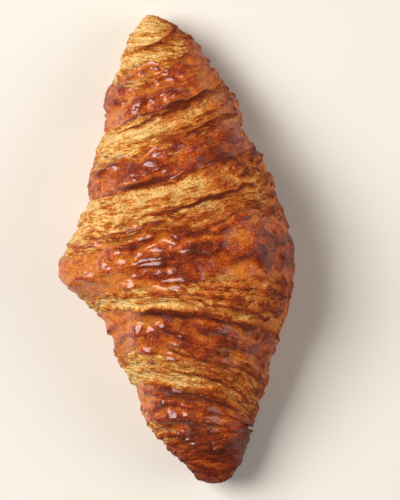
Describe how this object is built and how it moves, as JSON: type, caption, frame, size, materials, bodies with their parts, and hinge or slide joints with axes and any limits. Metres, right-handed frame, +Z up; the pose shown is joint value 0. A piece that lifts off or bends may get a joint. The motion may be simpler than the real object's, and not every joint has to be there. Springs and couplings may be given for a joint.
{
  "type": "croissant",
  "caption": "Baked butter croissant: a rolled, layered pastry with puffed bands, creases wound round it and a flat base.",
  "frame": {"origin": "on the flat base, under the middle of the bounding box", "axes": "+Y along the roll, +Z up from the base, +X across the roll, away from the apex of the dough on its flank"},
  "size_m": [0.0854, 0.17, 0.0508],
  "materials": {
    "crust": "egg-washed, flaky browned pastry crust, part glossy and part dry"
  },
  "bodies": {
    "root": {"croissant": "crust"}
  },
  "joints": []
}
